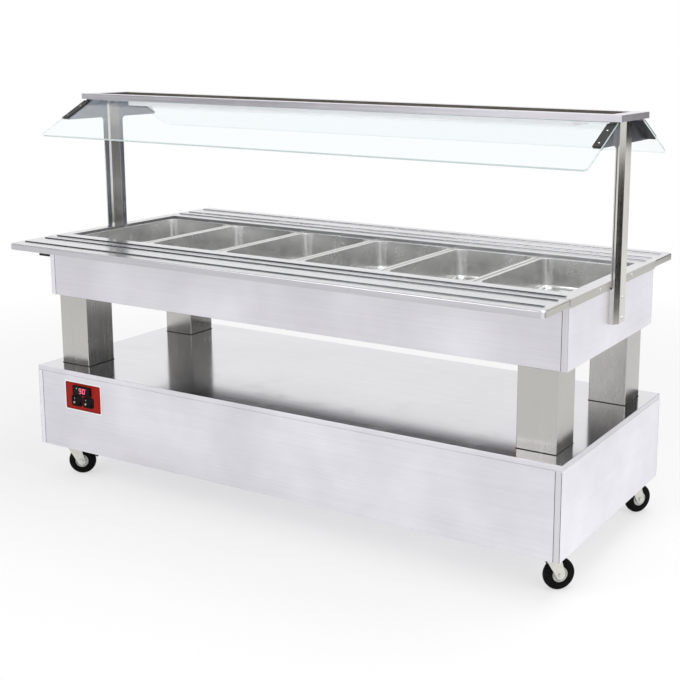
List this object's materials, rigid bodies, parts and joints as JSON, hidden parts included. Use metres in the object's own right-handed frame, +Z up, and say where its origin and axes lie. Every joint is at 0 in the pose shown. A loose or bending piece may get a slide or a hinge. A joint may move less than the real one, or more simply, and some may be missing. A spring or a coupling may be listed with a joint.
{
  "type": "heated buffet counter",
  "caption": "Mobile heated buffet counter: sunken food pans in a steel well on columns over a cabinet base, fold-down tray slides, lit roof with sloping glass screens.",
  "frame": {"origin": "on the floor, at the middle of the counter's bounding box", "axes": "+X along the counter to the right as seen from the control panel's side, -Y the side with the control panel, +Z up"},
  "size_m": [2.145, 1.078, 1.406],
  "materials": {
    "casing": "brushed stainless sheet",
    "casing_end": "brushed stainless sheet",
    "shelf": "brushed stainless sheet",
    "column": "polished stainless sheet",
    "tank": "stainless sheet",
    "element": "stainless tube",
    "valve": "nickel-plated brass",
    "lever": "red lacquer",
    "top": "brushed stainless sheet",
    "hinge": "black paint",
    "zinc": "zinc plated",
    "post": "brushed stainless sheet",
    "pane": "clear toughened glass",
    "clamp": "black paint",
    "roof": "brushed stainless sheet",
    "lamp_white": "white paint",
    "diffuser": "opal plastic",
    "red_plate": "red with a white border",
    "black_plastic": "black plastic",
    "gland": "black nylon",
    "screw": "stainless",
    "hub": "grey plastic",
    "tyre": "black rubber",
    "pedal": "black paint",
    "pan": "stainless sheet"
  },
  "bodies": {
    "counter": {"base_end_panels": "casing_end", "base_floor": "casing", "base_front_panel": "casing", "base_rear_panel": "casing", "base_shelf": "shelf", "cable_gland": "gland", "castor_plates": "zinc", "columns": "column", "control_box": "zinc", "control_plate": "red_plate", "counter_top": "top", "divider_bars": "tank", "drain_valve": "valve", "glass_clamps": "clamp", "glass_front": "pane", "glass_rear": "pane", "heating_element": "element", "hinge_brackets": "hinge", "lamp_diffuser": "diffuser", "lamp_housing": "lamp_white", "post_inner_channels": "post", "post_outer_channels": "post", "post_plates": "post", "roof": "roof", "screws": "screw", "switch_bezels": "black_plastic", "tank": "tank", "thermostat": "black_plastic", "well_end_panels": "casing_end", "well_floor": "casing", "well_long_panels": "casing"},
    "castor_fl": {"castor_fl_fork": "zinc"},
    "wheel_fl": {"castor_fl_hub": "hub", "castor_fl_tyre": "tyre"},
    "castor_fr": {"castor_fr_fork": "zinc"},
    "wheel_fr": {"castor_fr_hub": "hub", "castor_fr_tyre": "tyre"},
    "castor_br": {"castor_br_fork": "zinc"},
    "wheel_br": {"castor_br_hub": "hub", "castor_br_tyre": "tyre"},
    "castor_bl": {"castor_bl_fork": "zinc"},
    "wheel_bl": {"castor_bl_hub": "hub", "castor_bl_tyre": "tyre"},
    "pedal_fl": {"brake_pedal_fl": "pedal"},
    "pedal_bl": {"brake_pedal_bl": "pedal"},
    "slide_front": {"tray_slide_front": "top", "slide_arms_front": "hinge"},
    "slide_rear": {"tray_slide_rear": "top", "slide_arms_rear": "hinge"},
    "pan_1": {"pan_1": "pan"},
    "pan_2": {"pan_2": "pan"},
    "pan_3": {"pan_3": "pan"},
    "pan_4": {"pan_4": "pan"},
    "pan_5": {"pan_5": "pan"},
    "pan_6": {"pan_6": "pan"},
    "heat_rocker": {"heat_rocker": "black_plastic"},
    "light_rocker": {"light_rocker": "black_plastic"},
    "thermostat_up_button": {"thermostat_up_button": "black_plastic"},
    "thermostat_down_button": {"thermostat_down_button": "black_plastic"},
    "drain_lever": {"drain_lever": "lever"}
  },
  "joints": [
    {"name": "castor_fl_swivel", "type": "hinge", "parent": "counter", "child": "castor_fl", "pos_m": [-0.975, -0.347, 0.128], "axis": [0, 0, 1], "continuous": true},
    {"name": "castor_fl_roll", "type": "hinge", "parent": "castor_fl", "child": "wheel_fl", "pos_m": [-0.94002, -0.32761, 0.05], "axis": [-0.4848, 0.8746, 0], "continuous": true},
    {"name": "castor_fl_brake", "type": "hinge", "parent": "castor_fl", "child": "pedal_fl", "pos_m": [-0.95699, -0.33702, 0.10333], "axis": [-0.4848, 0.8746, 0], "range_deg": [0, 5]},
    {"name": "castor_fr_swivel", "type": "hinge", "parent": "counter", "child": "castor_fr", "pos_m": [0.975, -0.347, 0.128], "axis": [0, 0, 1], "continuous": true},
    {"name": "castor_fr_roll", "type": "hinge", "parent": "castor_fr", "child": "wheel_fr", "pos_m": [1.00177, -0.31727, 0.05], "axis": [-0.7431, 0.6691, 0], "continuous": true},
    {"name": "castor_br_swivel", "type": "hinge", "parent": "counter", "child": "castor_br", "pos_m": [0.975, 0.347, 0.128], "axis": [0, 0, 1], "continuous": true},
    {"name": "castor_br_roll", "type": "hinge", "parent": "castor_br", "child": "wheel_br", "pos_m": [0.9962, 0.38092, 0.05], "axis": [-0.848, 0.5299, 0], "continuous": true},
    {"name": "castor_bl_swivel", "type": "hinge", "parent": "counter", "child": "castor_bl", "pos_m": [-0.975, 0.347, 0.128], "axis": [0, 0, 1], "continuous": true},
    {"name": "castor_bl_roll", "type": "hinge", "parent": "castor_bl", "child": "wheel_bl", "pos_m": [-0.94436, 0.37271, 0.05], "axis": [-0.6428, 0.766, 0], "continuous": true},
    {"name": "castor_bl_brake", "type": "hinge", "parent": "castor_bl", "child": "pedal_bl", "pos_m": [-0.95923, 0.36024, 0.10333], "axis": [-0.6428, 0.766, 0], "range_deg": [0, 5]},
    {"name": "slide_front_drop", "type": "hinge", "parent": "counter", "child": "slide_front", "pos_m": [0, -0.385, 0.866], "axis": [1, 0, 0], "range_deg": [0, 90]},
    {"name": "slide_rear_drop", "type": "hinge", "parent": "counter", "child": "slide_rear", "pos_m": [0, 0.385, 0.866], "axis": [-1, 0, 0], "range_deg": [0, 90]},
    {"name": "pan_1_lift", "type": "slide", "parent": "counter", "child": "pan_1", "axis": [0, 0, 1], "range_m": [0, 0.2]},
    {"name": "pan_2_lift", "type": "slide", "parent": "counter", "child": "pan_2", "axis": [0, 0, 1], "range_m": [0, 0.2]},
    {"name": "pan_3_lift", "type": "slide", "parent": "counter", "child": "pan_3", "axis": [0, 0, 1], "range_m": [0, 0.2]},
    {"name": "pan_4_lift", "type": "slide", "parent": "counter", "child": "pan_4", "axis": [0, 0, 1], "range_m": [0, 0.2]},
    {"name": "pan_5_lift", "type": "slide", "parent": "counter", "child": "pan_5", "axis": [0, 0, 1], "range_m": [0, 0.2]},
    {"name": "pan_6_lift", "type": "slide", "parent": "counter", "child": "pan_6", "axis": [0, 0, 1], "range_m": [0, 0.2]},
    {"name": "heat_rocker_press", "type": "hinge", "parent": "counter", "child": "heat_rocker", "pos_m": [-0.855, -0.4195, 0.32], "axis": [1, 0, 0], "range_deg": [0, 18]},
    {"name": "light_rocker_press", "type": "hinge", "parent": "counter", "child": "light_rocker", "pos_m": [-0.7995, -0.4195, 0.32], "axis": [1, 0, 0], "range_deg": [0, 18]},
    {"name": "thermostat_up_button_press", "type": "slide", "parent": "counter", "child": "thermostat_up_button", "axis": [0, 1, 0], "range_m": [0, 0.001], "stiffness_N_per_m": 300},
    {"name": "thermostat_down_button_press", "type": "slide", "parent": "counter", "child": "thermostat_down_button", "axis": [0, 1, 0], "range_m": [0, 0.001], "stiffness_N_per_m": 300},
    {"name": "drain_lever_turn", "type": "hinge", "parent": "counter", "child": "drain_lever", "pos_m": [0.7, 0.184, 0.641], "axis": [0, -1, 0], "range_deg": [0, 90]}
  ]
}
